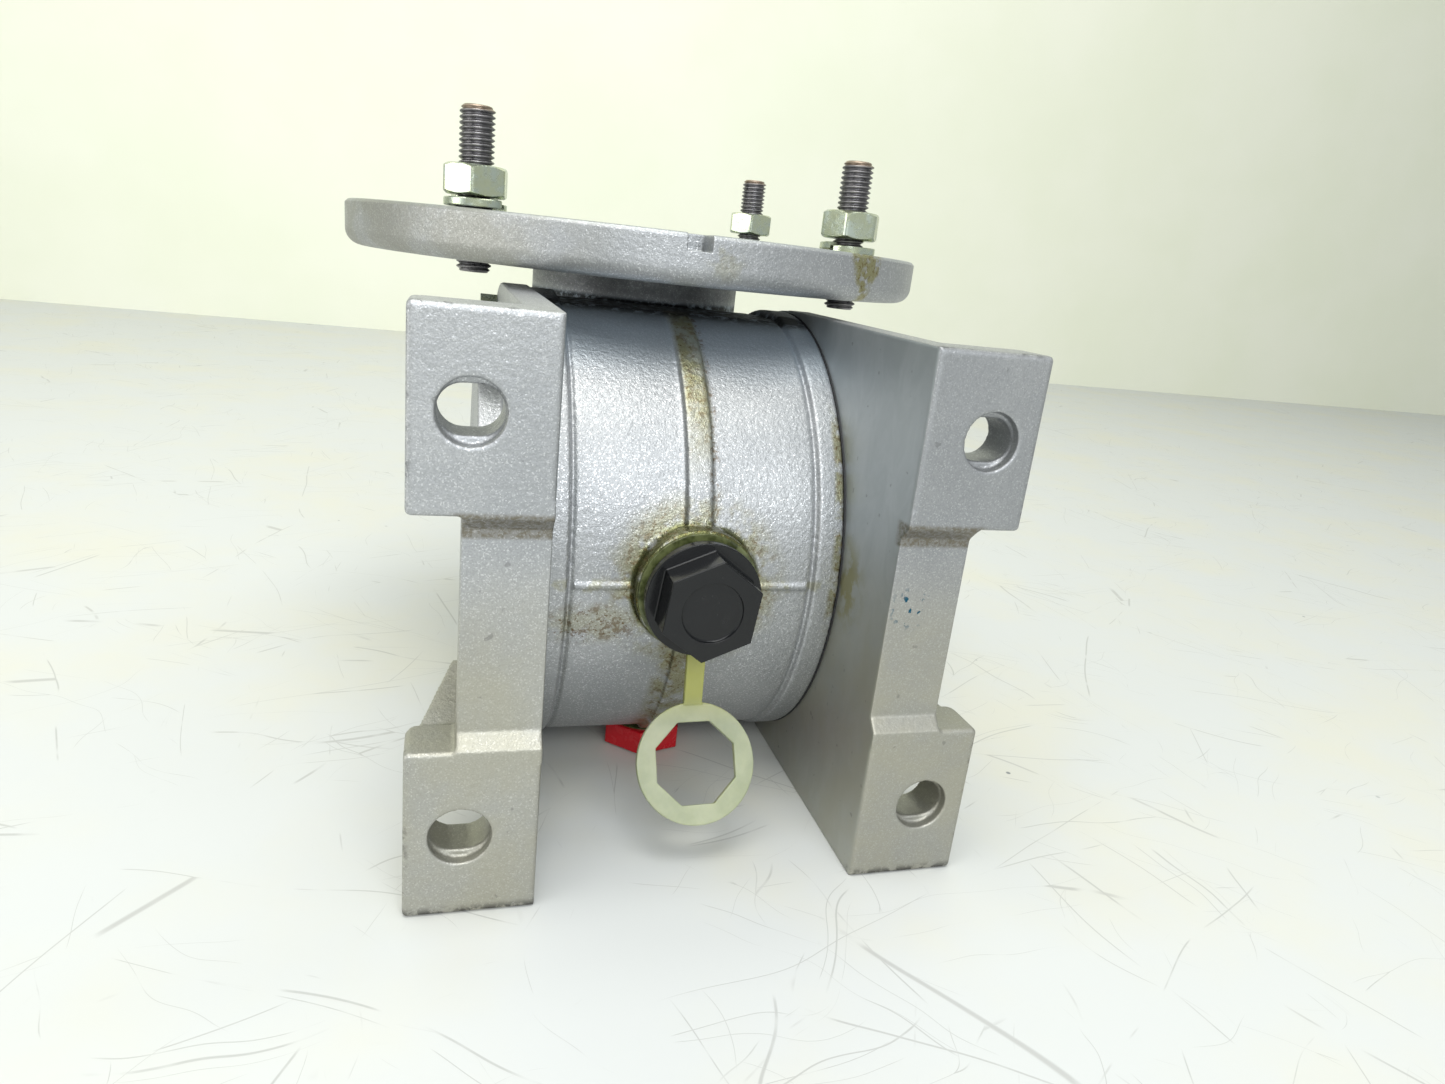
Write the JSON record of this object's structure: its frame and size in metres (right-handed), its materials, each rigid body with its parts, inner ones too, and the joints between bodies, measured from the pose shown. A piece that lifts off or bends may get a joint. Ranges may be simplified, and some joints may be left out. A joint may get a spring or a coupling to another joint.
{
  "type": "foot-mounted worm gear reducer",
  "caption": "Right-angle worm gear reducer in cast aluminium with two footed side covers, a round motor flange with studs and nuts, a hollow output shaft and an oil fill plug.",
  "frame": {"origin": "centre of the output bore, midway between the two covers", "axes": "+X along the output bore, +Z along the worm towards the motor, -Y out of the feet"},
  "size_m": [0.2, 0.256, 0.1931],
  "materials": {
    "cast_aluminium": "satin",
    "machined_aluminium": "satin",
    "zinc_steel": "satin",
    "black_steel": "satin",
    "bearing_steel": "polished",
    "ground_steel": "satin",
    "bronze": "satin",
    "cast_iron": "matte",
    "gasket": "matte",
    "seal_rubber": "matte",
    "black_plastic": "satin",
    "keeper_plastic": "satin",
    "red_plastic": "gloss"
  },
  "bodies": {
    "casing": {"gear_case": "cast_aluminium", "right_foot_cover": "cast_aluminium", "left_foot_cover": "cast_aluminium", "right_cover_gasket": "gasket", "left_cover_gasket": "gasket", "right_cover_bolts": "zinc_steel", "left_cover_bolts": "zinc_steel", "right_output_seal": "seal_rubber", "left_output_seal": "seal_rubber", "input_seal": "seal_rubber", "top_circlip": "black_steel", "low_circlip": "black_steel", "worm_end_cap": "seal_rubber", "input_flange": "cast_aluminium", "flange_gasket": "gasket", "flange_screws": "black_steel", "flange_studs": "black_steel", "spring_washers": "zinc_steel", "stud_nuts": "zinc_steel", "fill_plug_washer": "seal_rubber", "plug_keeper": "keeper_plastic", "fill_plug": "black_plastic", "drain_plug_washer": "seal_rubber", "drain_plug": "red_plastic", "right_output_outer_ring": "bearing_steel", "left_output_outer_ring": "bearing_steel", "top_worm_outer_ring": "bearing_steel", "low_worm_outer_ring": "bearing_steel"},
    "output": {"output_shaft": "ground_steel", "hub_key": "ground_steel", "wheel_hub": "cast_iron", "right_spacer": "ground_steel", "left_spacer": "ground_steel", "wheel_rim": "bronze", "right_output_inner_ring": "bearing_steel", "left_output_inner_ring": "bearing_steel"},
    "worm": {"worm_shaft": "ground_steel", "top_worm_inner_ring": "bearing_steel", "low_worm_inner_ring": "bearing_steel"},
    "right_output_cage": {"right_output_balls": "bearing_steel"},
    "left_output_cage": {"left_output_balls": "bearing_steel"},
    "top_worm_cage": {"top_worm_balls": "bearing_steel"},
    "low_worm_cage": {"low_worm_balls": "bearing_steel"}
  },
  "joints": [
    {"name": "wheel_spin", "type": "hinge", "parent": "casing", "child": "output", "pos_m": [0, 0, 0], "axis": [1, 0, 0], "continuous": true},
    {"name": "worm_spin", "type": "hinge", "parent": "casing", "child": "worm", "pos_m": [0, 0.05, 0], "axis": [0, 0, 1], "continuous": true},
    {"name": "right_output_cage_spin", "type": "hinge", "parent": "casing", "child": "right_output_cage", "pos_m": [0.036, 0, 0], "axis": [1, 0, 0], "continuous": true},
    {"name": "left_output_cage_spin", "type": "hinge", "parent": "casing", "child": "left_output_cage", "pos_m": [-0.036, 0, 0], "axis": [1, 0, 0], "continuous": true},
    {"name": "top_worm_cage_spin", "type": "hinge", "parent": "casing", "child": "top_worm_cage", "pos_m": [0, 0.05, 0.0595], "axis": [0, 0, 1], "continuous": true},
    {"name": "low_worm_cage_spin", "type": "hinge", "parent": "casing", "child": "low_worm_cage", "pos_m": [0, 0.05, -0.055], "axis": [0, 0, 1], "continuous": true}
  ],
  "couplings": [
    {"joint": "worm_spin", "follows": "wheel_spin", "ratio": -30},
    {"joint": "right_output_cage_spin", "follows": "wheel_spin", "ratio": 0.41856},
    {"joint": "left_output_cage_spin", "follows": "wheel_spin", "ratio": 0.41856},
    {"joint": "top_worm_cage_spin", "follows": "wheel_spin", "ratio": -12.494},
    {"joint": "low_worm_cage_spin", "follows": "wheel_spin", "ratio": -11.463}
  ]
}
